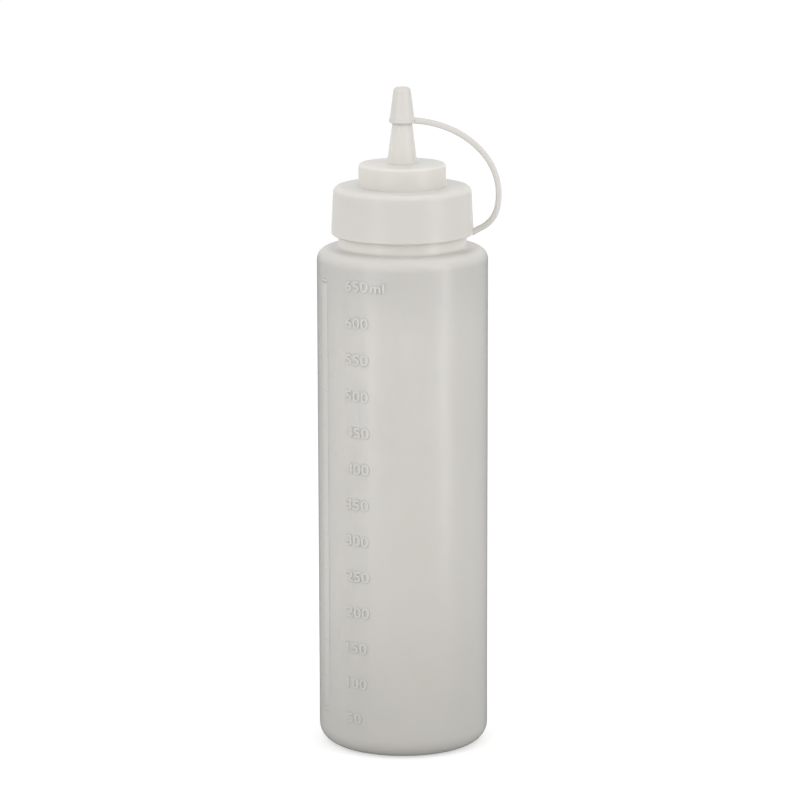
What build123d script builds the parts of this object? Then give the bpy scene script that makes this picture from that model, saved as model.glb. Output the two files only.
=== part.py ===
from build123d import *
import math
import os

os.makedirs("parts", exist_ok=True)

# Condiment squeeze bottle. Millimetres, +Z up, the origin at the middle of the circle that the
# bottle stands on, +X towards the strap that ties the tip cap to the lid.

# Bottle, blown in one piece with its neck
body_radius = 34.0
shoulder_height = 202.0
shoulder_corner_radius = 4.8
base_corner_radius = 7.0
foot_ring_width = 5.0
base_hollow_depth = 2.6
bottle_wall = 0.85
neck_radius = 25.5
neck_height = 21.2
neck_wall = 1.5
neck_foot_radius = 1.2
neck_lip_bevel = 0.4

# Seal ring between the neck's lip and the ceiling of the lid
seal_thickness = 1.4
seal_width = 3.0
seal_face_clearance = 0.1
seal_side_clearance = 0.3

# Screw lid, moulded in one piece: collar, drum and nozzle
thread_room = 0.9
collar_top_wall = 0.95
collar_flare = 0.95
collar_height = 19.2
collar_corner_radius = 2.2
collar_rim_bevel = 0.7
ceiling_thickness = 1.6
drum_radius = 17.35
drum_height = 9.0
drum_wall = 1.5
drum_corner_radius = 1.0
nozzle_foot_radius = 6.0
nozzle_open_length = 15.6
nozzle_middle_radius = 4.0
nozzle_tip_length = 8.0
nozzle_tip_radius = 2.4
nozzle_wall = 1.1

# Tip cap over the end of the nozzle
cap_clearance = 0.3
cap_overlap = 7.4
cap_length = 14.1
cap_rim_outer_radius = 5.2
cap_top_radius = 3.3
cap_top_corner_radius = 0.9
cap_end_wall = 1.3
cap_side_wall = 1.1

# Strap, whose centre line runs from the cap's rim to the collar's rim in arcs that meet smoothly
strap_thickness = 2.3
strap_width = 3.2
strap_cap_height = 0.8
strap_collar_height = 0.8
strap_first_heading = -4.0
strap_turns = (22.0, 26.0, 50.0, 50.0)
strap_first_bend_radius = 42.0
strap_last_bend_radius = 11.5
strap_tail_length = 4.0
strap_bite = 0.6

# The strap bends everywhere along its length; it is divided into short links, end to end
link_count = 5
cap_stub_length = 3.0
collar_stub_length = 3.4
knuckle_clearance = 0.12

# Heights and radii that follow from the sizes above
neck_top = shoulder_height + neck_height
neck_bore = neck_radius - neck_wall
ceiling = neck_top + seal_thickness + 2 * seal_face_clearance
collar_top = ceiling + ceiling_thickness
collar_rim = collar_top - collar_height
collar_bore = neck_radius + thread_room
collar_top_radius = collar_bore + collar_top_wall
collar_rim_outer_radius = collar_top_radius + collar_flare
drum_top = collar_top + drum_height
nozzle_middle = drum_top + nozzle_open_length
nozzle_tip = nozzle_middle + nozzle_tip_length
cap_rim = nozzle_tip - cap_overlap
cap_top = cap_rim + cap_length
cap_bore_end = cap_top - cap_end_wall
half_thickness = strap_thickness / 2
hinge_count = link_count + 1


def turned(points, rounds=()):
    """Solid of revolution about Z from outline points (radius, height) and corners to round."""
    section = make_face(Polyline(*[(x, 0, z) for x, z in points], close=True)).face()
    for (x, z), radius in rounds:
        corner = section.vertices().sort_by_distance((x, 0, z))[0]
        section = section.fillet_2d(radius, [corner])
    return revolve(section, Axis.Z)


def nozzle_radius(height):
    """Outer radius of the nozzle's end at a height, from the middle mark to the tip."""
    share = (height - nozzle_middle) / nozzle_tip_length
    return nozzle_middle_radius + share * (nozzle_tip_radius - nozzle_middle_radius)


def bottle_space(wall, throat, top):
    """Outer form of the bottle for wall 0, or the space inside it for the bottle's own wall."""
    side = body_radius - wall
    ring_outside = body_radius - base_corner_radius
    ring_inside = ring_outside - foot_ring_width
    corner = base_corner_radius - wall
    shoulder_corner = shoulder_corner_radius - wall
    shoulder = shoulder_height - wall
    with BuildSketch(Plane.XZ) as section:
        with BuildLine():
            hollow = Line((0, base_hollow_depth + wall), (ring_inside, wall))
            ring = Line(hollow @ 1, (ring_outside, wall))
            base_bend = JernArc(ring @ 1, (1, 0), corner, 90)
            wall_line = Line(base_bend @ 1, (side, shoulder - shoulder_corner))
            shoulder_bend = JernArc(wall_line @ 1, (0, 1), shoulder_corner, 90)
            shoulder_line = Line(shoulder_bend @ 1, (throat + neck_foot_radius, shoulder))
            neck_bend = JernArc(shoulder_line @ 1, (-1, 0), neck_foot_radius, -90)
            neck_line = Line(neck_bend @ 1, (throat, top))
            mouth = Line(neck_line @ 1, (0, top))
            Line(mouth @ 1, hollow @ 0)
        make_face()
    return revolve(section.sketch, Axis.Z)


def make_bottle():
    """Thin-walled bottle with a hollow base, a flat shoulder and a straight open neck."""
    outside = bottle_space(0, neck_radius, neck_top)
    inside = bottle_space(bottle_wall, neck_bore, neck_top + neck_wall)
    bottle = outside - inside
    lip = bottle.edges().filter_by(GeomType.CIRCLE).group_by(Axis.Z)[-1]
    return chamfer(lip, neck_lip_bevel)


def make_seal_ring():
    """Flat ring that the lid presses on the lip of the neck."""
    outside = collar_bore - seal_side_clearance
    bottom = neck_top + seal_face_clearance
    top = bottom + seal_thickness
    inside = outside - seal_width
    return turned([(inside, bottom), (outside, bottom), (outside, top), (inside, top)])


def make_lid_shell():
    """Collar, drum and nozzle, open underneath and at the tip."""
    drum_bore = drum_radius - drum_wall
    drum_ceiling = drum_top - drum_wall
    foot_bore = nozzle_foot_radius - nozzle_wall
    points = [
        (collar_bore, collar_rim),
        (collar_rim_outer_radius - collar_rim_bevel, collar_rim),
        (collar_rim_outer_radius, collar_rim + collar_rim_bevel),
        (collar_top_radius, collar_top),
        (drum_radius, collar_top),
        (drum_radius, drum_top),
        (nozzle_foot_radius, drum_top),
        (nozzle_middle_radius, nozzle_middle),
        (nozzle_tip_radius, nozzle_tip),
        (nozzle_tip_radius - nozzle_wall, nozzle_tip),
        (nozzle_middle_radius - nozzle_wall, nozzle_middle),
        (foot_bore, drum_ceiling),
        (drum_bore, drum_ceiling),
        (drum_bore, ceiling),
        (collar_bore, ceiling),
    ]
    corners = [(collar_top_radius, collar_top), (drum_radius, drum_top)]
    return turned(points, zip(corners, (collar_corner_radius, drum_corner_radius)))


def make_cap_shell():
    """Tapered cap, closed at the top, whose bore follows the nozzle's end."""
    rim_bore = nozzle_radius(cap_rim) + cap_clearance
    tip_bore = nozzle_tip_radius + cap_clearance
    end_bore = cap_top_radius - cap_side_wall
    points = [
        (rim_bore, cap_rim),
        (cap_rim_outer_radius, cap_rim),
        (cap_top_radius, cap_top),
        (0, cap_top),
        (0, cap_bore_end),
        (end_bore, cap_bore_end),
        (tip_bore, nozzle_tip),
    ]
    return turned(points, [(points[2], cap_top_corner_radius)])


def arc_reach(heading, turn):
    """How far a clockwise arc of radius 1 goes in X and Z, from its first heading and its turn."""
    first, last = math.radians(heading), math.radians(heading - turn)
    return Vector(math.sin(first) - math.sin(last), 0, math.cos(last) - math.cos(first))


def strap_bends():
    """Start of the strap's centre line and its arcs, the two middle radii fitted to reach the collar."""
    start = Vector(cap_rim_outer_radius, 0, cap_rim + strap_cap_height)
    rise = strap_collar_height / collar_height
    end = Vector(collar_rim_outer_radius - rise * collar_flare, 0, collar_rim + strap_collar_height)
    headings = [strap_first_heading - sum(strap_turns[:k]) for k in range(len(strap_turns) + 1)]
    reaches = [arc_reach(h, turn) for h, turn in zip(headings, strap_turns)]
    last = math.radians(headings[-1])
    tail = Vector(math.cos(last), 0, math.sin(last)) * strap_tail_length
    fixed = reaches[0] * strap_first_bend_radius + reaches[3] * strap_last_bend_radius + tail
    left = end - start - fixed
    second, third = reaches[1], reaches[2]
    area = second.X * third.Z - second.Z * third.X
    second_radius = (left.X * third.Z - left.Z * third.X) / area
    third_radius = (second.X * left.Z - second.Z * left.X) / area
    radii = (strap_first_bend_radius, second_radius, third_radius, strap_last_bend_radius)
    return start, list(zip(radii, strap_turns))


strap_start, bends = strap_bends()
bend_lengths = [radius * math.radians(turn) for radius, turn in bends]
strap_length = sum(bend_lengths) + strap_tail_length
link_length = (strap_length - cap_stub_length - collar_stub_length) / link_count


def strap_point(run):
    """Place and heading (degrees) of the strap's centre line at a run from the cap's rim."""
    place, heading = strap_start, strap_first_heading
    for radius, turn in bends:
        here = min(max(math.degrees(run / radius), 0), turn)
        place += arc_reach(heading, here) * radius
        heading -= here
        run -= radius * math.radians(turn)
    ahead = max(run, 0)
    along = math.radians(heading)
    return place + Vector(math.cos(along), 0, math.sin(along)) * ahead, heading


def hinge_run(number):
    """Run from the cap's rim to a hinge, where hinge 0 is beside the collar."""
    return strap_length - collar_stub_length - number * link_length


def strap_piece(first_run, last_run):
    """Length of strap between two runs, as a flat bar swept along its arcs."""
    start, heading = strap_point(first_run)
    with BuildLine(Plane.XZ) as line:
        place = (start.X, start.Z)
        done = 0.0
        for (radius, turn), length in zip(bends, bend_lengths):
            begin, end = max(first_run, done), min(last_run, done + length)
            done += length
            if end > begin:
                way = (math.cos(math.radians(heading)), math.sin(math.radians(heading)))
                here = math.degrees((end - begin) / radius)
                arc = JernArc(place, way, radius, -here)
                heading -= here
                place = ((arc @ 1).X, (arc @ 1).Z)
        if last_run > done:
            way = Vector(math.cos(math.radians(heading)), math.sin(math.radians(heading)))
            ahead = way * (last_run - max(first_run, done))
            Line(place, (place[0] + ahead.X, place[1] + ahead.Y))
    path = line.wire()
    face = Plane(origin=path @ 0, x_dir=(0, 1, 0), z_dir=path % 0)
    return sweep(face * Rectangle(strap_width, strap_thickness), path=path)


def knuckle(number, clearance=0.0):
    """Round end of a link at a hinge, or with a clearance the hollow that it turns in."""
    place, _ = strap_point(hinge_run(number))
    radius = half_thickness + clearance
    return Pos(place) * Cylinder(radius, strap_width + 2 * clearance, rotation=(90, 0, 0))


def make_lid():
    """Lid with the first stub of the strap at the collar's rim."""
    stub = strap_piece(hinge_run(0), strap_length + strap_bite)
    return make_lid_shell() + stub + knuckle(0)


def make_link(number):
    """Link of the strap from hinge number - 1, hollow end, to hinge number, round end."""
    bar = strap_piece(hinge_run(number), hinge_run(number - 1))
    return bar + knuckle(number) - knuckle(number - 1, knuckle_clearance)


def make_tip_cap():
    """Tip cap with the last stub of the strap at its rim."""
    rim_wall = cap_rim_outer_radius - nozzle_radius(cap_rim) - cap_clearance
    bite = min(strap_bite, rim_wall / 2)
    start, _ = strap_point(0)
    way = Vector(math.cos(math.radians(strap_first_heading)), 0, math.sin(math.radians(strap_first_heading)))
    root = Plane(origin=start - way * bite, x_dir=(0, 1, 0), z_dir=way)
    stub = extrude(root * Rectangle(strap_width, strap_thickness), amount=bite)
    stub += strap_piece(0, hinge_run(link_count))
    return make_cap_shell() + stub - knuckle(link_count, knuckle_clearance)


nodes = {
    "bottle": make_bottle(),
    "seal_ring": make_seal_ring(),
    "lid": make_lid(),
    "tip_cap": make_tip_cap(),
}
for number in range(1, link_count + 1):
    nodes[f"strap_link_{number}"] = make_link(number)

for name, shape in nodes.items():
    shape.label = name
    export_step(shape, f"parts/{name}.step")

print("height", round(cap_top, 3), "strap length", round(strap_length, 3), "link length", round(link_length, 3))
print("bend radii", [round(radius, 3) for radius, _ in bends])
for number in range(hinge_count):
    place, _ = strap_point(hinge_run(number))
    print("hinge", number, round(place.X, 4), round(place.Z, 4))
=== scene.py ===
import logging
import math
from dataclasses import dataclass
from enum import Enum
from typing import Sequence

import bpy
import numpy as np
from mathutils import Euler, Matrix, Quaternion, Vector


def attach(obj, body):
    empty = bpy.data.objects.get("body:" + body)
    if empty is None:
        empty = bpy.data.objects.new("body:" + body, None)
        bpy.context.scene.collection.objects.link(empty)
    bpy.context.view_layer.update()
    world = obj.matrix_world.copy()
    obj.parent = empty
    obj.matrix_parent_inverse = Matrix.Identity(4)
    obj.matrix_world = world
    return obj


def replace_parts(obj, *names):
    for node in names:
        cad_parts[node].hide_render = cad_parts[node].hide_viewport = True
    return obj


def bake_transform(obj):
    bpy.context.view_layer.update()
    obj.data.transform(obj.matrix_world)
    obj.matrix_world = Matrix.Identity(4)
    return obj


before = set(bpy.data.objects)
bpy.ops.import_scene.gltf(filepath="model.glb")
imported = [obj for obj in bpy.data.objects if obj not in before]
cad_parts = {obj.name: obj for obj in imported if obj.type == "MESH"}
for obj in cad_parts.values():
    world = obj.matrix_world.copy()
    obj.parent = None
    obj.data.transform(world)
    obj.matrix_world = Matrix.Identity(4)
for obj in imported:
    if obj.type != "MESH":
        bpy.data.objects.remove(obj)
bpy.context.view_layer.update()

LOG = logging.getLogger("squeeze_bottle")
Array = np.ndarray
Corners = Sequence[tuple[float, float, float]]
MM = 0.001


# Surfaces, in millimetres until they become meshes


@dataclass
class Surface:
    """A mesh in the making: points in millimetres, faces of four corners and faces of three."""

    points: Array
    quads: Array
    triangles: Array

    def joined(self, other: "Surface") -> "Surface":
        """This surface and another as one.

        Args:
            other: the surface to add, whose corner numbers move up by this one's point count.

        Returns:
            One surface that holds both.
        """
        shift = len(self.points)
        return Surface(
            np.vstack((self.points, other.points)),
            np.vstack((self.quads, other.quads + shift)),
            np.vstack((self.triangles, other.triangles + shift)),
        )

    def as_object(self, name: str, crease: float = 40.0) -> bpy.types.Object:
        """The surface as an object at the origin, in metres.

        Args:
            name: name of the object and its mesh.
            crease: turn in degrees between two faces past which their edge stays sharp.

        Returns:
            The new object, linked to the scene.
        """
        mesh = bpy.data.meshes.new(name)
        faces = self.quads.tolist() + self.triangles.tolist()
        mesh.from_pydata((self.points * MM).tolist(), [], faces)
        mesh.validate()
        mesh.shade_smooth()
        mesh.set_sharp_from_angle(angle=math.radians(crease))
        piece = bpy.data.objects.new(name, mesh)
        bpy.context.scene.collection.objects.link(piece)
        return piece


def no_faces(corners: int) -> Array:
    """An empty table of faces with that many corners each."""
    return np.zeros((0, corners), int)


def grid_faces(rows: int, columns: int, wrap_rows: bool, wrap_columns: bool) -> Array:
    """Faces of a grid of points, numbered row by row.

    Face (i, j) has the corners (i, j), (i, j + 1), (i + 1, j + 1) and (i + 1, j), and a wrapped
    direction takes its numbers modulo its count.

    Args:
        rows: number of rows.
        columns: number of points in a row.
        wrap_rows: whether the last row joins the first.
        wrap_columns: whether each row closes on itself.

    Returns:
        One line of four corner numbers for each face.
    """
    i, j = np.meshgrid(
        np.arange(rows if wrap_rows else rows - 1),
        np.arange(columns if wrap_columns else columns - 1),
        indexing="ij",
    )
    below, beside = (i + 1) % rows, (j + 1) % columns
    corners = (i * columns + j, i * columns + beside, below * columns + beside, below * columns + j)
    return np.stack(corners, axis=-1).reshape(-1, 4)


def squared_off(wave: Array, power: float) -> Array:
    """A sine or cosine drawn towards its ends: its size to that power, below 1, with its sign."""
    return np.sign(wave) * np.abs(wave) ** power


def end_fans(rows: int, around: int) -> Array:
    """Triangles that close the first and the last row of a grid of points, whose rows are loops.

    Each fan runs round a middle point of its own. The first row's middle point is numbered right
    after the grid's points, and the last row's comes next.

    Args:
        rows: number of rows.
        around: number of points in a row.

    Returns:
        One line of three corner numbers for each triangle.
    """
    j = np.arange(around)
    beside = (j + 1) % around
    top, middle = (rows - 1) * around, rows * around
    first = np.stack((np.full(around, middle), beside, j), axis=1)
    last = np.stack((top + j, top + beside, np.full(around, middle + 1)), axis=1)
    return np.vstack((first, last))


def rounded_outline(corners: Corners, closed: bool, steps: int) -> Array:
    """Outline of straight runs joined by arcs.

    With u and v the unit runs into and out of a corner, a the turn between them and r its rounding,
    the arc starts r tan(|a| / 2) before the corner. Its points are centre + turned(start - centre,
    a s) for s from 0 to 1, where the centre lies r from the start, square to u.

    Args:
        corners: (x, y, rounding) of each corner, the two ends of an open outline with rounding 0.
        closed: whether the last corner joins the first.
        steps: points on each arc.

    Returns:
        Points of the outline, one line each.
    """
    table = np.array(corners, float)
    places, radius = table[:, :2], table[:, 2]
    before, after = np.roll(places, 1, axis=0), np.roll(places, -1, axis=0)
    inward, outward = places - before, after - places
    u = inward / np.linalg.norm(inward, axis=1, keepdims=True)
    v = outward / np.linalg.norm(outward, axis=1, keepdims=True)
    turn = np.arctan2(u[:, 0] * v[:, 1] - u[:, 1] * v[:, 0], (u * v).sum(axis=1))
    start = places - u * (radius * np.tan(np.abs(turn) / 2))[:, None]
    across = np.stack((-u[:, 1], u[:, 0]), axis=1) * np.sign(turn)[:, None]
    centre = start + across * radius[:, None]
    spoke = start - centre
    angle = turn[:, None] * np.linspace(0, 1, steps)
    cosine, sine = np.cos(angle), np.sin(angle)
    arc_x = centre[:, 0, None] + spoke[:, 0, None] * cosine - spoke[:, 1, None] * sine
    arc_y = centre[:, 1, None] + spoke[:, 0, None] * sine + spoke[:, 1, None] * cosine
    arcs = np.stack((arc_x, arc_y), axis=-1)
    if closed:
        return arcs.reshape(-1, 2)
    return np.vstack((places[:1], arcs[1:-1].reshape(-1, 2), places[-1:]))


def filled_outline(outline: Array, longest: float, closed: bool) -> Array:
    """The outline with more points on its long runs.

    A run of length d gets n = d / longest parts, rounded up, at the shares (1 - cos(pi k / n)) / 2,
    which stand closer together near its ends.

    Args:
        outline: points, one line each.
        longest: about the longest run left.
        closed: whether the last point joins the first.

    Returns:
        Points of the fuller outline.
    """
    ends = np.roll(outline, -1, axis=0)
    runs = np.linalg.norm(ends - outline, axis=1)
    parts = np.maximum(np.ceil(runs / longest), 1).astype(int)
    if not closed:
        parts[-1] = 1
    number = np.arange(parts.sum()) - np.repeat(np.cumsum(parts) - parts, parts)
    share = (1 - np.cos(np.pi * number / np.repeat(parts, parts))) / 2
    first, last = np.repeat(outline, parts, axis=0), np.repeat(ends, parts, axis=0)
    return first + (last - first) * share[:, None]


def turned_surface(
    corners: Corners, longest: float, around: int, closed: bool, steps: int = 9
) -> Surface:
    """Surface of revolution about Z, from the corners of its outline.

    The outline is rounded and filled first. Point (i, j) is (r cos t, r sin t, z) for outline point
    i at (r, z) and t = 2 pi j / around. An open outline begins and ends on the axis, and each end
    is one point with a fan of triangles.

    Args:
        corners: (radius, height, rounding) of each corner, anticlockwise round the wall's section.
        longest: about the longest run left in the outline.
        around: points in a full circle.
        closed: whether the outline closes on itself and never meets the axis.
        steps: points on each rounding.

    Returns:
        The closed surface, with its faces outwards.
    """
    outline = filled_outline(rounded_outline(corners, closed, steps), longest, closed)
    rows = outline if closed else outline[1:-1]
    t = 2 * np.pi * np.arange(around) / around
    radius, height = rows[:, :1], rows[:, 1:]
    loops = np.stack((radius * np.cos(t), radius * np.sin(t), height + 0 * t), axis=-1)
    points = loops.reshape(-1, 3)
    quads = grid_faces(len(rows), around, closed, True)
    if closed:
        return Surface(points, quads, no_faces(3))
    poles = np.array([[0, 0, outline[0, 1]], [0, 0, outline[-1, 1]]])
    return Surface(np.vstack((points, poles)), quads, end_fans(len(rows), around))


def swept_surface(rings: Array) -> Surface:
    """Closed bar through a row of rings.

    Point (i, j) is point j of ring i, and each end ring is closed by a fan round its middle, the
    mean of its points.

    Args:
        rings: table of rings by points by three, each ring clockwise seen along the bar.

    Returns:
        The closed surface, with its faces outwards.
    """
    rows, around = rings.shape[:2]
    points = np.vstack((rings.reshape(-1, 3), rings[[0, -1]].mean(axis=1)))
    return Surface(points, grid_faces(rows, around, False, True), end_fans(rows, around))


def wrapped(surface: Surface, radius: float, azimuth: float, height: float) -> Surface:
    """A flat relief laid round a cylinder.

    Point (x, y, z) goes to the angle azimuth + x / radius, the height y + height and the radius
    radius + z, where azimuth 0 faces -Y and grows towards +X.

    Args:
        surface: relief drawn on the XY plane, raised along Z, in millimetres.
        radius: radius of the cylinder.
        azimuth: angle in degrees of the relief's x = 0.
        height: height of the relief's y = 0.

    Returns:
        The relief on the cylinder.
    """
    x, y, z = surface.points.T
    angle = math.radians(azimuth) + x / radius
    out = radius + z
    points = np.stack((out * np.sin(angle), -out * np.cos(angle), y + height), axis=1)
    return Surface(points, surface.quads, surface.triangles)


# Finishes


def set_inputs(node: bpy.types.Node, values: dict[str, object]) -> None:
    """Sets inputs of a node.

    Args:
        node: the node.
        values: value of each input, by the input's name.
    """
    for name, value in values.items():
        node.inputs[name].default_value = value


def group_ends(
    tree: bpy.types.NodeTree, inputs: dict[str, float | None], result: str
) -> tuple[bpy.types.Node, bpy.types.Node]:
    """Adds the sockets of an effect's group and its input and output nodes.

    Every group takes coordinates as Place. Of its other inputs, one with a default value is a
    number and one without is a colour. The result is a colour where its name is Colour, and a
    number otherwise.

    Args:
        tree: the group's node tree.
        inputs: default value of each input, by the input's name.
        result: name of the output.

    Returns:
        The input node and the output node.
    """
    number, colour = "NodeSocketFloat", "NodeSocketColor"
    tree.interface.new_socket(name="Place", in_out="INPUT", socket_type="NodeSocketVector")
    for name, value in inputs.items():
        kind = colour if value is None else number
        socket = tree.interface.new_socket(name=name, in_out="INPUT", socket_type=kind)
        if value is not None:
            socket.default_value = value
    kind = colour if result == "Colour" else number
    tree.interface.new_socket(name=result, in_out="OUTPUT", socket_type=kind)
    return tree.nodes.new("NodeGroupInput"), tree.nodes.new("NodeGroupOutput")


def noise(
    tree: bpy.types.NodeTree, place: bpy.types.NodeSocket, size: bpy.types.NodeSocket,
    detail: float, roughness: float = 0.5,
) -> bpy.types.NodeSocket:
    """Adds a noise texture.

    Args:
        tree: node tree of the group.
        place: output that gives the coordinates.
        size: output that gives the scale.
        detail: number of finer layers.
        roughness: strength of each finer layer.

    Returns:
        The output that gives the noise, from 0 to 1.
    """
    texture = tree.nodes.new("ShaderNodeTexNoise")
    set_inputs(texture, {"Detail": detail, "Roughness": roughness})
    tree.links.new(place, texture.inputs["Vector"])
    tree.links.new(size, texture.inputs["Scale"])
    return texture.outputs["Fac"]


def spread(
    tree: bpy.types.NodeTree, value: bpy.types.NodeSocket, low: float, high: float
) -> bpy.types.Node:
    """Adds a node that stretches a span of values.

    Args:
        tree: node tree of the group.
        value: output that gives the value.
        low: value that becomes the node's To Min, 0 unless it is linked.
        high: value that becomes the node's To Max, 1 unless it is linked.

    Returns:
        The node.
    """
    node = tree.nodes.new("ShaderNodeMapRange")
    set_inputs(node, {"From Min": low, "From Max": high})
    tree.links.new(value, node.inputs["Value"])
    return node


def build_clouding(tree: bpy.types.NodeTree) -> None:
    """Slow change of shade in undyed resin: soft noise, stretched along the piece's height.

    Args:
        tree: the empty node tree of the group.
    """
    inside, outside = group_ends(tree, {"Size": 30.0, "Pale": None, "Deep": None}, "Colour")
    stretch = tree.nodes.new("ShaderNodeVectorMath")
    stretch.operation = "MULTIPLY"
    stretch.inputs[1].default_value = (1.0, 1.0, 0.35)
    mix = tree.nodes.new("ShaderNodeMix")
    mix.data_type = "RGBA"
    tree.links.new(inside.outputs["Place"], stretch.inputs[0])
    cloud = noise(tree, stretch.outputs[0], inside.outputs["Size"], detail=3.0, roughness=0.45)
    tree.links.new(spread(tree, cloud, low=0.3, high=0.7).outputs["Result"], mix.inputs["Factor"])
    tree.links.new(inside.outputs["Pale"], mix.inputs["A"])
    tree.links.new(inside.outputs["Deep"], mix.inputs["B"])
    tree.links.new(mix.outputs["Result"], outside.inputs["Colour"])


def build_grain(tree: bpy.types.NodeTree) -> None:
    """Relief of a moulded skin: fine grain plus a slow waviness, each noise times its own height.

    Args:
        tree: the empty node tree of the group.
    """
    sizes = {"Fine Size": 900.0, "Fine Height": 0.4, "Wave Size": 45.0, "Wave Height": 1.0}
    inside, outside = group_ends(tree, sizes, "Height")
    total = tree.nodes.new("ShaderNodeMath")
    total.operation = "ADD"
    for number, layer in enumerate(("Fine", "Wave")):
        size = inside.outputs[f"{layer} Size"]
        relief = noise(tree, inside.outputs["Place"], size, detail=2.0)
        scale = tree.nodes.new("ShaderNodeMath")
        scale.operation = "MULTIPLY"
        tree.links.new(relief, scale.inputs[0])
        tree.links.new(inside.outputs[f"{layer} Height"], scale.inputs[1])
        tree.links.new(scale.outputs["Value"], total.inputs[number])
    tree.links.new(total.outputs["Value"], outside.inputs["Height"])


def build_scuffs(tree: bpy.types.NodeTree) -> None:
    """Roughness with faint rubbed patches: noise above a threshold lowers the rough value.

    Args:
        tree: the empty node tree of the group.
    """
    sizes = {"Size": 60.0, "Satin": 0.4, "Rubbed": 0.3}
    inside, outside = group_ends(tree, sizes, "Roughness")
    place, size = inside.outputs["Place"], inside.outputs["Size"]
    patches = noise(tree, place, size, detail=6.0, roughness=0.65)
    share = spread(tree, patches, low=0.45, high=0.75)
    tree.links.new(inside.outputs["Satin"], share.inputs["To Min"])
    tree.links.new(inside.outputs["Rubbed"], share.inputs["To Max"])
    tree.links.new(share.outputs["Result"], outside.inputs["Roughness"])


def build_climb(tree: bpy.types.NodeTree) -> None:
    """Share that eases from 0 at the low height to 1 at the high one.

    Args:
        tree: the empty node tree of the group.
    """
    inside, outside = group_ends(tree, {"Low": 0.0, "High": 0.1}, "Share")
    split = tree.nodes.new("ShaderNodeSeparateXYZ")
    ease = tree.nodes.new("ShaderNodeMapRange")
    ease.interpolation_type = "SMOOTHSTEP"
    tree.links.new(inside.outputs["Place"], split.inputs[0])
    tree.links.new(split.outputs["Z"], ease.inputs["Value"])
    tree.links.new(inside.outputs["Low"], ease.inputs["From Min"])
    tree.links.new(inside.outputs["High"], ease.inputs["From Max"])
    tree.links.new(ease.outputs["Result"], outside.inputs["Share"])


class Effect(Enum):
    """Surface effects that the finishes share, each a node group built once."""

    CLOUDING = "resin_clouding"
    GRAIN = "moulded_grain"
    SCUFFS = "handling_scuffs"
    CLIMB = "share_by_height"

    def group(self) -> bpy.types.NodeTree:
        """The effect's node group, built when it is first asked for.

        Returns:
            The node group.
        """
        found = bpy.data.node_groups.get(self.value)
        if found:
            return found
        tree = bpy.data.node_groups.new(self.value, "ShaderNodeTree")
        builders = {
            Effect.CLOUDING: build_clouding,
            Effect.GRAIN: build_grain,
            Effect.SCUFFS: build_scuffs,
            Effect.CLIMB: build_climb,
        }
        builders[self](tree)
        return tree

    def placed(
        self, tree: bpy.types.NodeTree, place: bpy.types.NodeSocket, values: dict[str, object]
    ) -> bpy.types.Node:
        """Places the effect's group in a material.

        Args:
            tree: the material's node tree.
            place: output that gives the coordinates.
            values: the material's own values for the group, by the inputs' names.

        Returns:
            The group's node.
        """
        node = tree.nodes.new("ShaderNodeGroup")
        node.node_tree = self.group()
        set_inputs(node, values)
        tree.links.new(place, node.inputs["Place"])
        return node


def linear(shade: tuple[int, int, int]) -> tuple[float, float, float, float]:
    """A colour of 0 to 255 in linear light: ((s + 0.055) / 1.055) ** 2.4 of its share of 255.

    Args:
        shade: red, green and blue as a screen shows them.

    Returns:
        Linear red, green and blue, and alpha 1.
    """
    parts = ((np.array(shade) / 255 + 0.055) / 1.055) ** 2.4
    return (float(parts[0]), float(parts[1]), float(parts[2]), 1.0)


@dataclass(frozen=True)
class Zone:
    """Colour that a finish takes on over a span of heights, in metres: painted light where it is
    paler than the finish and painted shade where it is darker.

    It starts at low and is full at high, which may lie under low.
    """

    shade: tuple[int, int, int]
    low: float
    high: float


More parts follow.
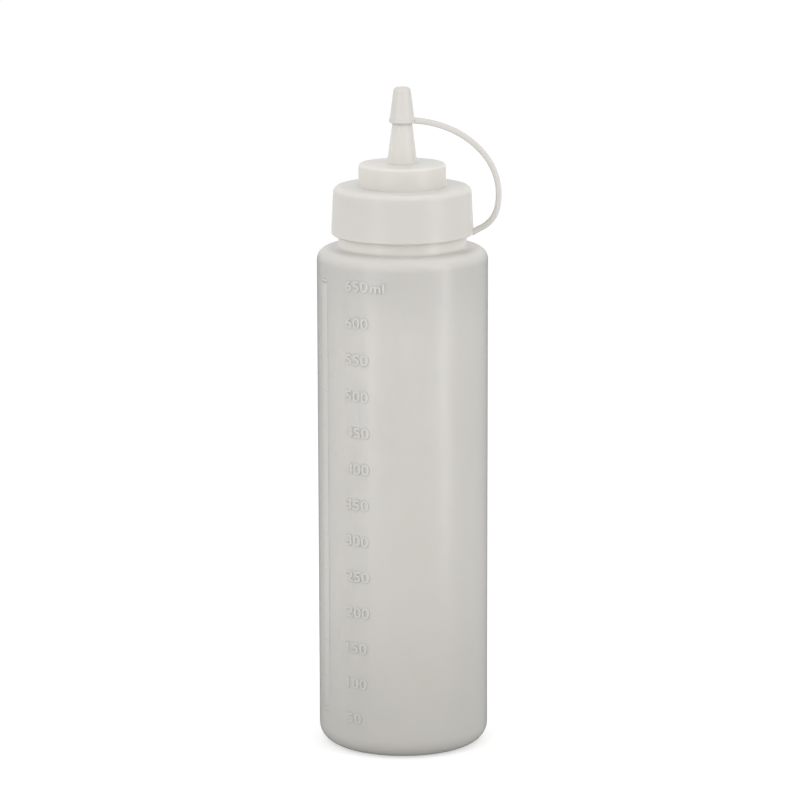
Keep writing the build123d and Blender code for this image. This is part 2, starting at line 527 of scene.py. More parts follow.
@dataclass(frozen=True)
class PlasticFinish:
    """Undyed polyethylene with a satin skin.

    A finish with a wall_top is that of a thin wall, whose colour deepens where it is seen at a
    slant. A tinted coat that mirrors next to nothing stands in for that, and it ends over a height
    of wall_fade under wall_top. Its zones lay painted light and painted shade over its colour by
    height. Zones, wall_top, wall_fade and the depths are in metres.
    """

    name: str
    slot: str
    pale: tuple[int, int, int]
    deep: tuple[int, int, int]
    satin: float = 0.42
    rubbed: float = 0.33
    cloud_size: float = 22.0
    grain_size: float = 1100.0
    grain_height: float = 0.10
    wave_size: float = 40.0
    wave_height: float = 0.9
    bump: float = 0.12
    bump_depth: float = 0.0004
    glow: float = 1.0
    glow_depth: float = 0.002
    glow_spread: tuple[float, float, float] = (1.0, 0.95, 0.85)
    gloss: float = 0.5
    index: float = 1.5
    zones: tuple[Zone, ...] = ()
    wall_top: float = 0.0
    wall_fade: float = 0.006
    wall_tint: tuple[float, float, float] = (0.906, 0.909, 0.908)
    wall_index: float = 1.004
    wall_roughness: float = 0.3

    def colour(
        self, tree: bpy.types.NodeTree, place: bpy.types.NodeSocket
    ) -> bpy.types.NodeSocket:
        """Adds the clouded colour and, over it, the painted light and painted shade of its zones to
        a material.

        Args:
            tree: the material's node tree.
            place: output that gives the coordinates.

        Returns:
            The output that gives the colour.
        """
        shades = {"Size": self.cloud_size, "Pale": linear(self.pale), "Deep": linear(self.deep)}
        colour = Effect.CLOUDING.placed(tree, place, shades).outputs["Colour"]
        # Each zone lays its painted light or painted shade over the clouded colour.
        for zone in self.zones:
            share = Effect.CLIMB.placed(tree, place, {"Low": zone.low, "High": zone.high})
            painted_light_blend = tree.nodes.new("ShaderNodeMix")
            painted_light_blend.data_type = "RGBA"
            painted_light_blend.inputs["B"].default_value = linear(zone.shade)
            tree.links.new(share.outputs["Share"], painted_light_blend.inputs["Factor"])
            tree.links.new(colour, painted_light_blend.inputs["A"])
            colour = painted_light_blend.outputs["Result"]
        return colour

    def material(self) -> bpy.types.Material:
        """The finish as a material, built when it is first asked for.

        Returns:
            The material.
        """
        found = bpy.data.materials.get(self.name)
        if found:
            return found
        material = bpy.data.materials.new(self.name)
        material.use_nodes = True
        tree = material.node_tree
        shader = tree.nodes["Principled BSDF"]
        place = tree.nodes.new("ShaderNodeTexCoord").outputs["Object"]
        tree.links.new(self.colour(tree, place), shader.inputs["Base Color"])
        sizes = {
            "Fine Size": self.grain_size,
            "Fine Height": self.grain_height,
            "Wave Size": self.wave_size,
            "Wave Height": self.wave_height,
        }
        grain = Effect.GRAIN.placed(tree, place, sizes)
        bump = tree.nodes.new("ShaderNodeBump")
        set_inputs(bump, {"Strength": self.bump, "Distance": self.bump_depth})
        tree.links.new(grain.outputs["Height"], bump.inputs["Height"])
        tree.links.new(bump.outputs["Normal"], shader.inputs["Normal"])
        scuffs = Effect.SCUFFS.placed(tree, place, {"Satin": self.satin, "Rubbed": self.rubbed})
        tree.links.new(scuffs.outputs["Roughness"], shader.inputs["Roughness"])
        plain = {
            "Subsurface Weight": self.glow,
            "Subsurface Radius": self.glow_spread,
            "Subsurface Scale": self.glow_depth,
            "Specular IOR Level": self.gloss,
            "IOR": self.index,
        }
        set_inputs(shader, plain)
        if self.wall_top:
            span = {"Low": self.wall_top, "High": self.wall_top - self.wall_fade}
            fade = Effect.CLIMB.placed(tree, place, span)
            tree.links.new(fade.outputs["Share"], shader.inputs["Coat Weight"])
            coat = {
                "Coat IOR": self.wall_index,
                "Coat Roughness": self.wall_roughness,
                "Coat Tint": (*self.wall_tint, 1.0),
            }
            set_inputs(shader, coat)
        return material

    def dress(self, piece: bpy.types.Object) -> bpy.types.Object:
        """Gives a piece this finish.

        Args:
            piece: the piece.

        Returns:
            The same piece.
        """
        piece.data.materials.clear()
        piece.data.materials.append(self.material())
        return piece


# Painted light and painted shade on the bottle, by height.
BOTTLE_PAINTED_LIGHT_ZONES = (
    # Painted shade: the body darker towards the foot, where less light reaches it.
    Zone((205, 202, 196), low=0.078, high=0.0),
    # Painted shade: the top of the body and the shoulder darker.
    Zone((210, 207, 202), low=0.165, high=0.2),
    # Painted light: the neck paler, where the collar's shadow falls on it.
    Zone((221, 218, 212), low=0.2022, high=0.2034),
)
BOTTLE_WALL_TOP = 0.203
BOTTLE_FINISH = PlasticFinish(
    "bottle_polyethylene", "bottle_plastic", pale=(221, 217, 211), deep=(215, 211, 205),
    satin=0.34, rubbed=0.27, zones=BOTTLE_PAINTED_LIGHT_ZONES, wall_top=BOTTLE_WALL_TOP,
)
FIGURE_FINISH = PlasticFinish(
    "figure_polyethylene", "bottle_plastic", pale=(215, 213, 207), deep=(210, 208, 202),
    bump=0.05, glow=0.0, zones=BOTTLE_PAINTED_LIGHT_ZONES[:1], wall_top=BOTTLE_WALL_TOP,
)
# Painted highlight: the strip is paler than the bottle's wall, so that it reads as a light line.
STRIP_PAINTED_HIGHLIGHT_FINISH = PlasticFinish(
    "strip_painted_highlight", "bottle_plastic", pale=(223, 220, 214), deep=(217, 214, 208),
    bump=0.05, glow=0.0, zones=BOTTLE_PAINTED_LIGHT_ZONES[:1], wall_top=BOTTLE_WALL_TOP,
)
LID_FINISH = PlasticFinish(
    "lid_polyethylene", "lid_plastic", pale=(211, 208, 204), deep=(206, 203, 199),
    # Painted light: the lid is paler from the collar's top upwards, where light from above falls on
    # the tops.
    zones=(Zone((214, 211, 206), low=0.2245, high=0.2285),),
)
STRAP_FINISH = PlasticFinish(
    "strap_polyethylene", "strap_plastic", pale=(210, 207, 202), deep=(204, 201, 196), glow=0.0
)
SEAL_FINISH = PlasticFinish(
    "seal_foam", "seal_plastic", pale=(228, 228, 224), deep=(218, 218, 214),
    satin=0.8, rubbed=0.7, grain_size=2600.0, grain_height=0.8, bump=0.5, gloss=0.2,
)


# The pieces


@dataclass(frozen=True)
class Thread:
    """Screw thread: a helical ridge on a wall, with a rise below 0 on the inside of the wall.

    The width is the height of the ridge's foot, the bottom is where the ridge starts and the pitch
    is the rise of one turn, all in millimetres.
    """

    rise: float
    width: float
    bottom: float
    pitch: float = 4.2
    turns: float = 1.75
    squareness: float = 0.7
    root: float = 0.45
    tuck: float = 0.1
    run_out: float = np.pi / 3
    points_in_turn: int = 96
    points_round: int = 18

    def ridge(self, radius: float) -> Surface:
        """The ridge on a wall of that radius R.

        Its middle is at (R cos t, R sin t, bottom + pitch t / 2 pi). Its section is a closed loop
        of points b with the height width / 2 sin b. Where p, the squared-off cosine of b, is
        positive, the radius is R + rise f p - tuck (1 - f), and where it isn't, R + root p. The
        share f eases from 0 to 1 over the angle run_out at both ends, which sink into the wall. On
        the inside of a wall, tuck and root count towards the axis.

        Args:
            radius: radius of the wall that carries the ridge.

        Returns:
            The closed ridge, with its foot inside the wall.
        """
        side = math.copysign(1.0, self.rise)
        t = np.linspace(0, 2 * np.pi * self.turns, int(self.points_in_turn * self.turns))
        share = np.clip(np.minimum(t, t[-1] - t) / self.run_out, 0, 1)
        ease = (share * share * (3 - 2 * share))[:, None]
        b = np.linspace(0, 2 * np.pi, self.points_round, endpoint=False) * side
        proud = squared_off(np.cos(b), self.squareness)
        outside = proud * self.rise * ease - side * self.tuck * (1 - ease)
        out = radius + np.where(proud > 0, outside, proud * self.root * side)
        height = self.bottom + self.pitch * t[:, None] / (2 * np.pi) + self.width * 0.5 * np.sin(b)
        rings = np.stack((out * np.cos(t)[:, None], out * np.sin(t)[:, None], height), axis=-1)
        return swept_surface(rings[:, ::-1])


@dataclass
class Bottle:
    """Blown bottle with a hollow base, a flat shoulder, a threaded neck and its volume scale."""

    body_radius: float = 34.0
    shoulder_height: float = 202.0
    shoulder_rounding: float = 4.8
    base_rounding: float = 7.0
    foot_ring: tuple[float, float] = (22.0, 27.0)
    foot_roundings: tuple[float, float] = (1.0, 0.02)
    hollow_depth: float = 2.6
    hollow_edge: tuple[float, float] = (1.5, 0.25)
    hollow_rounding: float = 6.0
    floor_rounding: float = 3.0
    wall: float = 0.85
    neck_radius: float = 25.5
    neck_top: float = 223.2
    neck_wall: float = 1.5
    neck_foot_rounding: float = 1.2
    lip_rounding: float = 0.4
    thread: Thread = Thread(rise=0.55, width=1.7, bottom=211.0)
    scale_top: float = 191.0
    scale_step: float = 14.617
    scale_levels: tuple[int, ...] = (650, 600, 550, 500, 450, 400, 350, 300, 250, 200, 150, 100, 50)
    numeral_size: float = 5.9
    numeral_stretch: float = 1.2
    numeral_spacing: float = 1.03
    numeral_softness: float = 0.2
    numeral_rise: float = 0.22
    numeral_seat: float = 0.02
    numeral_middle: float = 0.35
    numeral_azimuth: float = -41.5
    unit: str = "ml"
    unit_share: float = 0.9
    unit_gap: float = 0.7
    strip_azimuth: float = -64.9
    strip_width: float = 5.2
    strip_rise: float = 0.1
    strip_ends: tuple[float, float] = (16.6, 190.8)
    tick_share: float = 0.8
    tick_height: float = 0.9
    tick_rise: float = 0.2
    pinch_inset: float = 5.0
    pinch_halves: tuple[float, float] = (0.6, 0.35)
    longest_run: float = 4.0
    around: int = 160

    def shell(self) -> Surface:
        """Wall of the bottle: its outside, its lip and its inside, turned about Z.

        Each corner is a radius, a height and a rounding.

        Returns:
            The closed wall.
        """
        neck_bore = self.neck_radius - self.neck_wall
        side, floor = self.body_radius - self.wall, self.wall
        shoulder = self.shoulder_height - self.wall
        ring_in, ring_out = self.foot_ring
        inset, edge = self.hollow_edge
        corners = [
            (0, self.hollow_depth, 0),
            (ring_in - inset, edge, self.hollow_rounding),
            (ring_in, 0, self.foot_roundings[0]),
            (ring_out, 0, self.foot_roundings[1]),
            (self.body_radius, 0, self.base_rounding),
            (self.body_radius, self.shoulder_height, self.shoulder_rounding),
            (self.neck_radius, self.shoulder_height, self.neck_foot_rounding),
            (self.neck_radius, self.neck_top, self.lip_rounding),
            (neck_bore, self.neck_top, self.lip_rounding),
            (neck_bore, shoulder, self.neck_foot_rounding),
            (side, shoulder, self.shoulder_rounding - self.wall),
            (side, floor, self.base_rounding - self.wall),
            (ring_in, floor, self.floor_rounding),
            (0, self.hollow_depth + floor, 0),
        ]
        return turned_surface(corners, self.longest_run, self.around, closed=False)

    def numeral(self, words: str, size: float, offset: float) -> Surface:
        """Raised figures as a flat relief, with their left foot at the offset along x.

        The type's faces have four or three corners each. Those of each kind are picked out by the
        number of corners before them.

        Args:
            words: the figures.
            size: size of the type in millimetres.
            offset: x of the left edge.

        Returns:
            The relief, raised along Z from just below 0.
        """
        curve = bpy.data.curves.new("figures", "FONT")
        curve.body = words
        curve.size = size
        curve.extrude = self.numeral_rise - self.numeral_softness
        curve.bevel_depth = self.numeral_softness
        curve.bevel_resolution, curve.resolution_u = 2, 5
        curve.space_character = self.numeral_spacing
        flat = bpy.data.objects.new("figures", curve)
        bpy.context.scene.collection.objects.link(flat)
        seen = flat.evaluated_get(bpy.context.evaluated_depsgraph_get())
        mesh = bpy.data.meshes.new_from_object(seen)
        points = np.empty(len(mesh.vertices) * 3)
        mesh.vertices.foreach_get("co", points)
        points = points.reshape(-1, 3)
        sizes = np.array([len(face.vertices) for face in mesh.polygons])
        corners = np.empty(sizes.sum(), int)
        mesh.polygons.foreach_get("vertices", corners)
        starts = np.cumsum(sizes) - sizes
        quads = corners[starts[sizes == 4][:, None] + np.arange(4)]
        triangles = corners[starts[sizes == 3][:, None] + np.arange(3)]
        bpy.data.objects.remove(flat)
        bpy.data.curves.remove(curve)
        bpy.data.meshes.remove(mesh)
        points[:, 0] *= self.numeral_stretch
        points[:, 0] += offset - points[:, 0].min()
        return Surface(points, quads, triangles)

    def level(self, number: int) -> float:
        """Height of a level's figures, counted from the top one."""
        return self.scale_top - number * self.scale_step

    def numerals(self) -> Surface:
        """All the figures of the scale, wrapped on the wall, with the unit after the first.

        Returns:
            The figures as one surface.
        """
        seat = self.body_radius + self.numeral_seat
        middle = self.numeral_middle * self.numeral_size
        whole = Surface(np.zeros((0, 3)), no_faces(4), no_faces(3))
        for number, volume in enumerate(self.scale_levels):
            relief = self.numeral(str(volume), self.numeral_size, 0.0)
            if number == 0:
                start = relief.points[:, 0].max() + self.unit_gap
                unit = self.numeral(self.unit, self.numeral_size * self.unit_share, start)
                relief = relief.joined(unit)
            place = self.level(number) - middle
            whole = whole.joined(wrapped(relief, seat, self.numeral_azimuth, place))
        return whole

    def raised_bar(self, width: float, bottom: float, top: float, rise: float) -> Surface:
        """Raised bar along the wall, from one height to another.

        The section's point b is (width / 2 c, level) with c and s the squared-off cosine and sine
        of b, which makes a flat bar with rounded edges. The level is rise s f - seat where s is
        positive and root s where it is negative, so that the bar stands in the wall. Towards both
        ends f falls from 1 to 0 as the square root of the share of the end's run. The bar is that
        section carried along y.

        Args:
            width: width of the bar.
            bottom: height of its lower end.
            top: height of its upper end.
            rise: how far it stands out of the wall.

        Returns:
            The bar, wrapped on the wall.
        """
        points_round, rows, squareness = 40, 40, 0.35
        seat, root, longest_end = 0.02, 0.3, 0.35
        b = np.linspace(0, 2 * np.pi, points_round, endpoint=False)
        across = squared_off(np.cos(b), squareness) * width / 2
        up = squared_off(np.sin(b), squareness)
        run = bottom + (top - bottom) * np.linspace(0, 1, rows)
        soft = np.minimum(longest_end, (top - bottom) / 3)
        ends = np.clip(np.minimum(run - bottom, top - run) / soft, 0, 1) ** 0.5
        level = np.where(up > 0, up * rise * ends[:, None] - seat, up * root)
        flat = np.stack((across + 0 * level, run[:, None] + 0 * level, level), axis=-1)
        return wrapped(swept_surface(flat[:, ::-1]), self.body_radius, self.strip_azimuth, 0.0)

    def strip(self) -> Surface:
        """The raised strip beside the figures, with a tick at each level.

        Returns:
            The strip and its ticks as one surface.
        """
        whole = self.raised_bar(self.strip_width, *self.strip_ends, self.strip_rise)
        width, half = self.strip_width * self.tick_share, self.tick_height / 2
        for number in range(len(self.scale_levels)):
            place = self.level(number)
            whole = whole.joined(self.raised_bar(width, place - half, place + half, self.tick_rise))
        return whole

    def pinch_line(self) -> Surface:
        """Straight seam that the mould pinches across the hollow of the base, a low rounded ridge.

        Its middle follows the cone of the hollow, z = depth (1 - |x| / ring). Its section is an
        ellipse, (w f cos b, h f sin b) for its half width w and half height h, and f is the height
        of a half circle over x, which shrinks it to next to nothing at both ends.

        Returns:
            The closed ridge.
        """
        rows, points_round, least = 61, 12, 0.02
        half_width, half_height = self.pinch_halves
        x = np.linspace(-1, 1, rows) * (self.foot_ring[0] - self.pinch_inset)
        ceiling = self.hollow_depth * (1 - np.abs(x) / self.foot_ring[0])
        fade = np.sqrt(np.clip(1 - (x / x[-1]) ** 2, 0.0, 1)) + least
        b = np.linspace(0, 2 * np.pi, points_round, endpoint=False)
        width = half_width * fade[:, None] * np.cos(b)
        drop = half_height * fade[:, None] * np.sin(b)
        rings = np.stack((x[:, None] + 0 * width, width, ceiling[:, None] + drop), axis=-1)
        return swept_surface(rings)

    def build(self) -> list[bpy.types.Object]:
        """Makes and dresses the bottle's pieces, which ride on the bottle.

        Returns:
            The pieces.
        """
        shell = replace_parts(BOTTLE_FINISH.dress(self.shell().as_object("bottle_shell")), "bottle")
        pieces = [
            shell,
            BOTTLE_FINISH.dress(self.thread.ridge(self.neck_radius).as_object("neck_thread")),
            FIGURE_FINISH.dress(self.numerals().as_object("volume_figures", crease=30.0)),
            STRIP_PAINTED_HIGHLIGHT_FINISH.dress(self.strip().as_object("volume_strip")),
            BOTTLE_FINISH.dress(self.pinch_line().as_object("base_pinch_line")),
        ]
        return [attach(piece, "bottle") for piece in pieces]


@dataclass
class SealRing:
    """Foam ring between the neck's lip and the lid."""

    inner_radius: float = 23.1
    outer_radius: float = 26.1
    bottom: float = 223.3
    top: float = 224.7
    rounding: float = 0.3
    longest_run: float = 0.8
    around: int = 128

    def build(self) -> list[bpy.types.Object]:
        """Makes and dresses the ring, which rides on its own body.

        Returns:
            The ring alone.
        """
        corners = [
            (self.inner_radius, self.bottom, self.rounding),
            (self.outer_radius, self.bottom, self.rounding),
            (self.outer_radius, self.top, self.rounding),
            (self.inner_radius, self.top, self.rounding),
        ]
        wall = turned_surface(corners, self.longest_run, self.around, closed=True, steps=6)
        ring = wall.as_object("seal_foam_ring")
        return [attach(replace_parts(SEAL_FINISH.dress(ring), "seal_ring"), "seal")]


@dataclass
class Lid:
    """Screw lid moulded in one piece: collar, drum and nozzle, with a thread inside the collar.

    The inner roundings are those of the nozzle's foot, the drum's ceiling, the drum's foot and the
    collar's ceiling, all inside, and the tip's are those of its outer and its inner edge.
    """

    collar_bore: float = 26.4
    collar_rim: float = 207.2
    collar_rim_radius: float = 28.3
    collar_rim_rounding: float = 0.9
    collar_top: float = 226.4
    collar_top_radius: float = 27.35
    collar_rounding: float = 2.2
    bore_rounding: float = 0.35
    ceiling: float = 224.8
    drum_radius: float = 17.35
    drum_top: float = 235.4
    drum_rounding: float = 1.0
    drum_foot_rounding: float = 0.5
    drum_wall: float = 1.5
    nozzle_foot_radius: float = 6.0
    nozzle_foot_rounding: float = 0.6
    nozzle_middle: tuple[float, float] = (4.0, 251.0)
    nozzle_bend: float = 3.0
    nozzle_tip: tuple[float, float] = (2.4, 259.0)
    tip_roundings: tuple[float, float] = (0.4, 0.3)
    nozzle_wall: float = 1.1
    inner_roundings: tuple[float, float, float, float] = (0.5, 0.8, 0.3, 0.6)
    thread: Thread = Thread(rise=-0.24, width=1.6, bottom=209.6)
    longest_run: float = 2.5
    around: int = 160

    def shell(self) -> Surface:
        """Wall of the lid, outside and inside, turned about Z.

        Each corner is a radius, a height and a rounding.

        Returns:
            The closed wall.
        """
        middle_radius, middle = self.nozzle_middle
        tip_radius, tip = self.nozzle_tip
        drum_bore, drum_ceiling = self.drum_radius - self.drum_wall, self.drum_top - self.drum_wall
        foot_bore = self.nozzle_foot_radius - self.nozzle_wall
        inner = self.inner_roundings
        corners = [
            (self.collar_bore, self.collar_rim, self.bore_rounding),
            (self.collar_rim_radius, self.collar_rim, self.collar_rim_rounding),
            (self.collar_top_radius, self.collar_top, self.collar_rounding),
            (self.drum_radius, self.collar_top, self.drum_foot_rounding),
            (self.drum_radius, self.drum_top, self.drum_rounding),
            (self.nozzle_foot_radius, self.drum_top, self.nozzle_foot_rounding),
            (middle_radius, middle, self.nozzle_bend),
            (tip_radius, tip, self.tip_roundings[0]),
            (tip_radius - self.nozzle_wall, tip, self.tip_roundings[1]),
            (middle_radius - self.nozzle_wall, middle, self.nozzle_bend),
            (foot_bore, drum_ceiling, inner[0]),
            (drum_bore, drum_ceiling, inner[1]),
            (drum_bore, self.ceiling, inner[2]),
            (self.collar_bore, self.ceiling, inner[3]),
        ]
        return turned_surface(corners, self.longest_run, self.around, closed=True)

    def build(self) -> list[bpy.types.Object]:
        """Makes and dresses the lid's pieces, which ride on the lid.

        Returns:
            The pieces.
        """
        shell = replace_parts(LID_FINISH.dress(self.shell().as_object("lid_shell")), "lid")
        ridge = self.thread.ridge(self.collar_bore)
        thread = LID_FINISH.dress(ridge.as_object("collar_thread"))
        return [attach(shell, "lid"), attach(thread, "lid")]


@dataclass
class TipCap:
    """Tapered cap over the end of the nozzle, with a low ring round its rim.

    The rim's roundings are those of its inner and its outer edge, and the ring's are those of its
    upper edge and of the corner over it.
    """

    rim: float = 251.6
    rim_bore: float = 4.18
    rim_radius: float = 5.2
    rim_roundings: tuple[float, float] = (0.25, 0.45)
    ring_height: float = 1.7
    ring_taper: float = 0.05
    ring_ledge: float = 0.2
    ring_roundings: tuple[float, float] = (0.35, 0.25)
    side_radius: float = 4.85
    top: float = 265.7
    top_radius: float = 3.3
    top_rounding: float = 1.5
    bore_end: float = 264.4
    end_bore: float = 2.2
    end_rounding: float = 0.5
    tip_bore: float = 2.7
    tip: float = 259.0
    tip_bend: float = 2.0
    longest_run: float = 1.2
    around: int = 96

    def build(self) -> list[bpy.types.Object]:
        """Makes and dresses the cap, which rides on its own body.

        Each corner is a radius, a height and a rounding.

        Returns:
            The cap alone.
        """
        ring_top = self.rim + self.ring_height
        corners = [
            (0, self.bore_end, 0),
            (self.end_bore, self.bore_end, self.end_rounding),
            (self.tip_bore, self.tip, self.tip_bend),
            (self.rim_bore, self.rim, self.rim_roundings[0]),
            (self.rim_radius, self.rim, self.rim_roundings[1]),
            (self.rim_radius - self.ring_taper, ring_top, self.ring_roundings[0]),
            (self.side_radius, ring_top + self.ring_ledge, self.ring_roundings[1]),
            (self.top_radius, self.top, self.top_rounding),
            (0, self.top, 0),
        ]
        wall = turned_surface(corners, self.longest_run, self.around, closed=False)
        cap = wall.as_object("cap_shell")
        return [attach(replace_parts(STRAP_FINISH.dress(cap), "tip_cap"), "tip_cap")]


@dataclass
class Strap:
    """Flexible strap from the cap's rim to the collar's, in lengths cut at each link's middle.

    Its centre line is a row of four arcs and a straight tail, in the XZ plane. A run is a distance
    along it from the cap's rim. A heading counts in degrees from +X towards +Z, and each turn
    lowers it.
    """

    start: tuple[float, float] = (5.2, 252.4)
    end: tuple[float, float] = (28.2604, 208.0)
    first_heading: float = -4.0
    turns: tuple[float, ...] = (22.0, 26.0, 50.0, 50.0)
    first_radius: float = 42.0
    last_radius: float = 11.5
    tail: float = 4.0
    width: float = 3.2
    thickness: float = 2.3
    cap_stub: float = 3.0
    collar_stub: float = 3.4
    links: int = 5
    bite: float = 0.9
    squareness: float = 0.55
    root_growth: float = 0.2
    root_reach: float = 1.6
    rows_in_piece: int = 40
    around: int = 28

    def headings(self) -> Array:
        """Heading at the start of each arc and at the end of the last, in radians."""
        turned = np.concatenate(([0.0], np.cumsum(self.turns)))
        return np.radians(self.first_heading - turned)

    def radii(self) -> Array:
        """Radii of the four arcs.

        An arc of radius 1 from heading p to q reaches (sin p - sin q, cos q - cos p). The two
        middle radii solve the pair of equations that make the whole line end at the collar.

        Returns:
            The radii in millimetres, from the cap's end on.
        """
        h = self.headings()
        reach = np.stack((np.sin(h[:-1]) - np.sin(h[1:]), np.cos(h[1:]) - np.cos(h[:-1])), axis=1)
        tail = self.tail * np.array([np.cos(h[-1]), np.sin(h[-1])])
        fixed = reach[0] * self.first_radius + reach[3] * self.last_radius + tail
        left = np.array(self.end) - np.array(self.start) - fixed
        middle = np.linalg.solve(reach[1:3].T, left)
        return np.array([self.first_radius, middle[0], middle[1], self.last_radius])

    def length(self) -> float:
        """Length of the centre line."""
        return float((self.radii() * np.radians(self.turns)).sum() + self.tail)

    def centre_line(self, run: Array) -> tuple[Array, Array]:
        """Places and headings of the centre line at runs from the cap's rim.

        Each arc adds radius times (sin p - sin q, cos q - cos p), with p its first heading and q
        the heading reached, and before the first arc and after the last the line goes straight on.

        Args:
            run: distances along the line, in millimetres.

        Returns:
            Table of (x, z) places, and the headings in radians.
        """
        radii, turns, h = self.radii(), np.radians(self.turns), self.headings()
        begins = np.concatenate(([0.0], np.cumsum(radii * turns)[:-1]))
        turned = np.clip((run[:, None] - begins) / radii, 0, turns)
        p, q = h[:-1], h[:-1] - turned
        x = (radii * (np.sin(p) - np.sin(q))).sum(axis=1)
        z = (radii * (np.cos(q) - np.cos(p))).sum(axis=1)
        heading = h[0] - turned.sum(axis=1)
        ahead = np.maximum(run - (radii * turns).sum(), 0) + np.minimum(run, 0)
        reach = np.stack((x + ahead * np.cos(heading), z + ahead * np.sin(heading)), axis=1)
        return np.array(self.start) + reach, heading

    def cuts(self) -> Array:
        """Runs where the lengths meet: the collar's root, each link's middle and the cap's root.

        Returns:
            The runs in millimetres, from the collar's end on.
        """
        length = self.length()
        link = (length - self.cap_stub - self.collar_stub) / self.links
        middles = length - self.collar_stub - link * (np.arange(self.links) + 0.5)
        return np.concatenate(([length + self.bite], middles, [-self.bite]))

    def bar(self, first: float, last: float) -> Surface:
        """Length of the strap between two runs.

        The section's point b is (width / 2 c, thickness / 2 s) with c and s the squared-off cosine
        and sine of b, a rectangle with well rounded edges. Towards both roots it gets wider by
        root_growth exp(-(distance / root_reach)^2).

        Args:
            first: run of the end nearer the collar.
            last: run of the end nearer the cap.

        Returns:
            The closed bar.
        """
        run = np.linspace(last, first, self.rows_in_piece)
        places, heading = self.centre_line(run)
        from_root = np.minimum(np.abs(run), np.abs(self.length() - run))
        grow = 1 + self.root_growth * np.exp(-((from_root / self.root_reach) ** 2))
        b = np.linspace(0, 2 * np.pi, self.around, endpoint=False)
        beside = self.width / 2 * squared_off(np.cos(b), self.squareness) * grow[:, None]
        over = self.thickness / 2 * squared_off(np.sin(b), self.squareness)
        x = places[:, :1] - np.sin(heading)[:, None] * over
        z = places[:, 1:] + np.cos(heading)[:, None] * over
        return swept_surface(np.stack((x, beside, z), axis=-1))

    def build(self) -> list[bpy.types.Object]:
        """Makes and dresses the strap's lengths, each with its place baked into its points.

        Returns:
            The lengths, from the collar's end on.
        """
        cuts = self.cuts()
        pieces = []
        for number in range(self.links + 1):
            bar = self.bar(cuts[number], cuts[number + 1])
            piece = STRAP_FINISH.dress(bar.as_object(f"strap_length_{number}"))
            if number:
                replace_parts(piece, f"strap_link_{number}")
            pieces.append(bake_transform(piece))
        return pieces


# The studio


def beside_axis(azimuth: float, distance: float, height: float) -> tuple[float, float, float]:
    """Place round the bottle: (distance sin a, -distance cos a, height), with a = 0 at the camera.

    Args:
        azimuth: angle in degrees, growing towards +X.
        distance: distance from the bottle's axis, in metres.
        height: height over the floor, in metres.

    Returns:
        The place, in metres.
    """
    angle = math.radians(azimuth)
    return (distance * math.sin(angle), -distance * math.cos(angle), height)


def background_strength(
    tree: bpy.types.NodeTree, plain: float, seen: float, mirrored: float
) -> bpy.types.NodeSocket:
    """Adds nodes that give a background its own strength for each kind of ray.

    Args:
        tree: node tree of the material or the world.
        plain: strength as a light on the object.
        seen: strength to the camera.
        mirrored: strength to glossy and transmission rays.

    Returns:
        The output that gives the strength.
    """
    path = tree.nodes.new("ShaderNodeLightPath")
    either = tree.nodes.new("ShaderNodeMath")
    either.operation = "MAXIMUM"
    tree.links.new(path.outputs["Is Glossy Ray"], either.inputs[0])
    tree.links.new(path.outputs["Is Transmission Ray"], either.inputs[1])
    mirror = tree.nodes.new("ShaderNodeMapRange")
    mirror.inputs["To Min"].default_value = plain
    mirror.inputs["To Max"].default_value = mirrored
    tree.links.new(either.outputs["Value"], mirror.inputs["Value"])
    camera = tree.nodes.new("ShaderNodeMapRange")
    camera.inputs["To Max"].default_value = seen
    tree.links.new(path.outputs["Is Camera Ray"], camera.inputs["Value"])
    tree.links.new(mirror.outputs["Result"], camera.inputs["To Min"])
    return camera.outputs["Result"]


@dataclass(frozen=True)
class Softbox:
    """Rectangular lamp that looks at a point of the bottle's axis.

    Its sizes are in metres, its azimuth and the spread of its light in degrees.
    """

    name: str
    azimuth: float
    distance: float
    height: float
    aim: float
    width: float
    tall: float
    watts: float
    mirrored: bool = True
    spread: float = 180.0

    def build(self) -> None:
        """Hangs the lamp, which the camera doesn't see."""
        lamp = bpy.data.lights.new(self.name, "AREA")
        lamp.shape = "RECTANGLE"
        lamp.size, lamp.size_y = self.width, self.tall
        lamp.energy = self.watts
        lamp.spread = math.radians(self.spread)
        holder = bpy.data.objects.new(self.name, lamp)
        holder.location = beside_axis(self.azimuth, self.distance, self.height)
        beam = Vector((0, 0, self.aim)) - holder.location
        holder.rotation_mode = "QUATERNION"
        holder.rotation_quaternion = beam.to_track_quat("-Z", "Y")
        holder.visible_camera = False
        holder.visible_glossy = self.mirrored
        bpy.context.scene.collection.objects.link(holder)


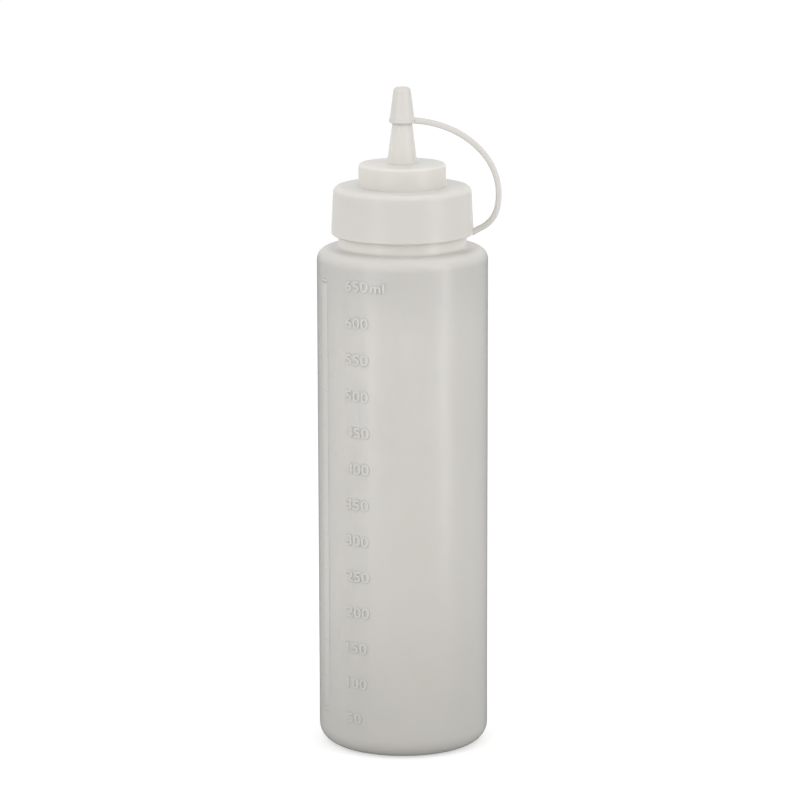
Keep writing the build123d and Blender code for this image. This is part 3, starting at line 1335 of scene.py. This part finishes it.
@dataclass
class Studio:
    """Pale floor, white surround, softboxes at both sides and behind, and the camera.

    Two tall strips make the soft bright bands on the front. The lamp behind is narrow and low, and
    its light is held together, so that it lights the back and neither the tops nor the floor.
    """

    world_strength: float = 0.9
    floor_shade: tuple[int, int, int] = (200, 200, 200)
    floor_half_side: float = 12000.0
    floor_lift: float = 0.5
    floor_lift_mirrored: float = 0.4
    camera_place: tuple[float, float, float] = (-1.1, -1568.0, 464.5)
    camera_pitch: float = 11.7
    camera_roll: float = -0.14
    lens: float = 180.0
    sensor_width: float = 36.0
    far_clip: float = 100.0
    lamps: tuple[Softbox, ...] = (
        Softbox(
            "left_strip", azimuth=-42.0, distance=0.42, height=0.4, aim=0.4, width=0.10, tall=0.8,
            watts=0.75,
        ),
        Softbox(
            "right_strip", azimuth=56.0, distance=0.42, height=0.4, aim=0.4, width=0.08, tall=0.8,
            watts=0.85,
        ),
        Softbox(
            "left_fill", azimuth=-80.0, distance=0.9, height=0.6, aim=0.6, width=0.5, tall=1.2,
            watts=0.5,
        ),
        Softbox(
            "back_fill", azimuth=180.0, distance=1.0, height=0.2, aim=0.12, width=0.2, tall=0.2,
            watts=0.12, mirrored=False, spread=36.0,
        ),
    )

    def floor(self) -> None:
        """Pale floor that keeps the object's shadow and is lifted to white where it is seen."""
        side = self.floor_half_side
        spot = np.array([[-side, -side, 0], [side, -side, 0], [side, side, 0], [-side, side, 0]])
        plane = Surface(spot, np.array([[0, 1, 2, 3]]), no_faces(3)).as_object("floor")
        material = bpy.data.materials.new("pale_floor")
        material.use_nodes = True
        tree = material.node_tree
        tree.nodes.clear()
        out = tree.nodes.new("ShaderNodeOutputMaterial")
        matt = tree.nodes.new("ShaderNodeBsdfDiffuse")
        matt.inputs["Color"].default_value = linear(self.floor_shade)
        lift = tree.nodes.new("ShaderNodeEmission")
        total = tree.nodes.new("ShaderNodeAddShader")
        strength = background_strength(tree, 0.0, self.floor_lift, self.floor_lift_mirrored)
        tree.links.new(strength, lift.inputs["Strength"])
        tree.links.new(matt.outputs["BSDF"], total.inputs[0])
        tree.links.new(lift.outputs["Emission"], total.inputs[1])
        tree.links.new(total.outputs["Shader"], out.inputs["Surface"])
        plane.data.materials.append(material)

    def surround(self) -> None:
        """World that is white where it is seen or mirrored and a softer white as a light."""
        world = bpy.data.worlds.new("white_surround")
        bpy.context.scene.world = world
        world.use_nodes = True
        tree = world.node_tree
        back = tree.nodes["Background"]
        back.inputs["Color"].default_value = (1.0, 1.0, 1.0, 1.0)
        strength = background_strength(tree, self.world_strength, 1.0, 1.0)
        tree.links.new(strength, back.inputs["Strength"])

    def camera(self) -> None:
        """Camera at the photograph's angle."""
        data = bpy.data.cameras.new("camera")
        data.lens = self.lens
        data.sensor_width = self.sensor_width
        data.dof.use_dof = False
        data.clip_end = self.far_clip
        holder = bpy.data.objects.new("camera", data)
        holder.location = tuple(part * MM for part in self.camera_place)
        holder.rotation_mode = "QUATERNION"
        level = Euler((math.radians(90 - self.camera_pitch), 0, 0)).to_quaternion()
        holder.rotation_quaternion = level @ Quaternion((0, 0, 1), math.radians(self.camera_roll))
        bpy.context.scene.collection.objects.link(holder)
        bpy.context.scene.camera = holder

    def build(self) -> None:
        """Sets up the studio."""
        self.floor()
        self.surround()
        for lamp in self.lamps:
            lamp.build()
        self.camera()
        bpy.context.scene.view_settings.view_transform = "Standard"


def main() -> None:
    """Builds the sub-assemblies in order, reports each piece and sets up the studio."""
    logging.basicConfig(level=logging.INFO, format="%(message)s")
    for assembly in (Bottle(), SealRing(), Lid(), TipCap(), Strap()):
        for piece in assembly.build():
            faces = len(piece.data.polygons)
            LOG.info("%s: %s, %d faces", type(assembly).__name__, piece.name, faces)
    Studio().build()


if __name__ == "__main__":
    main()
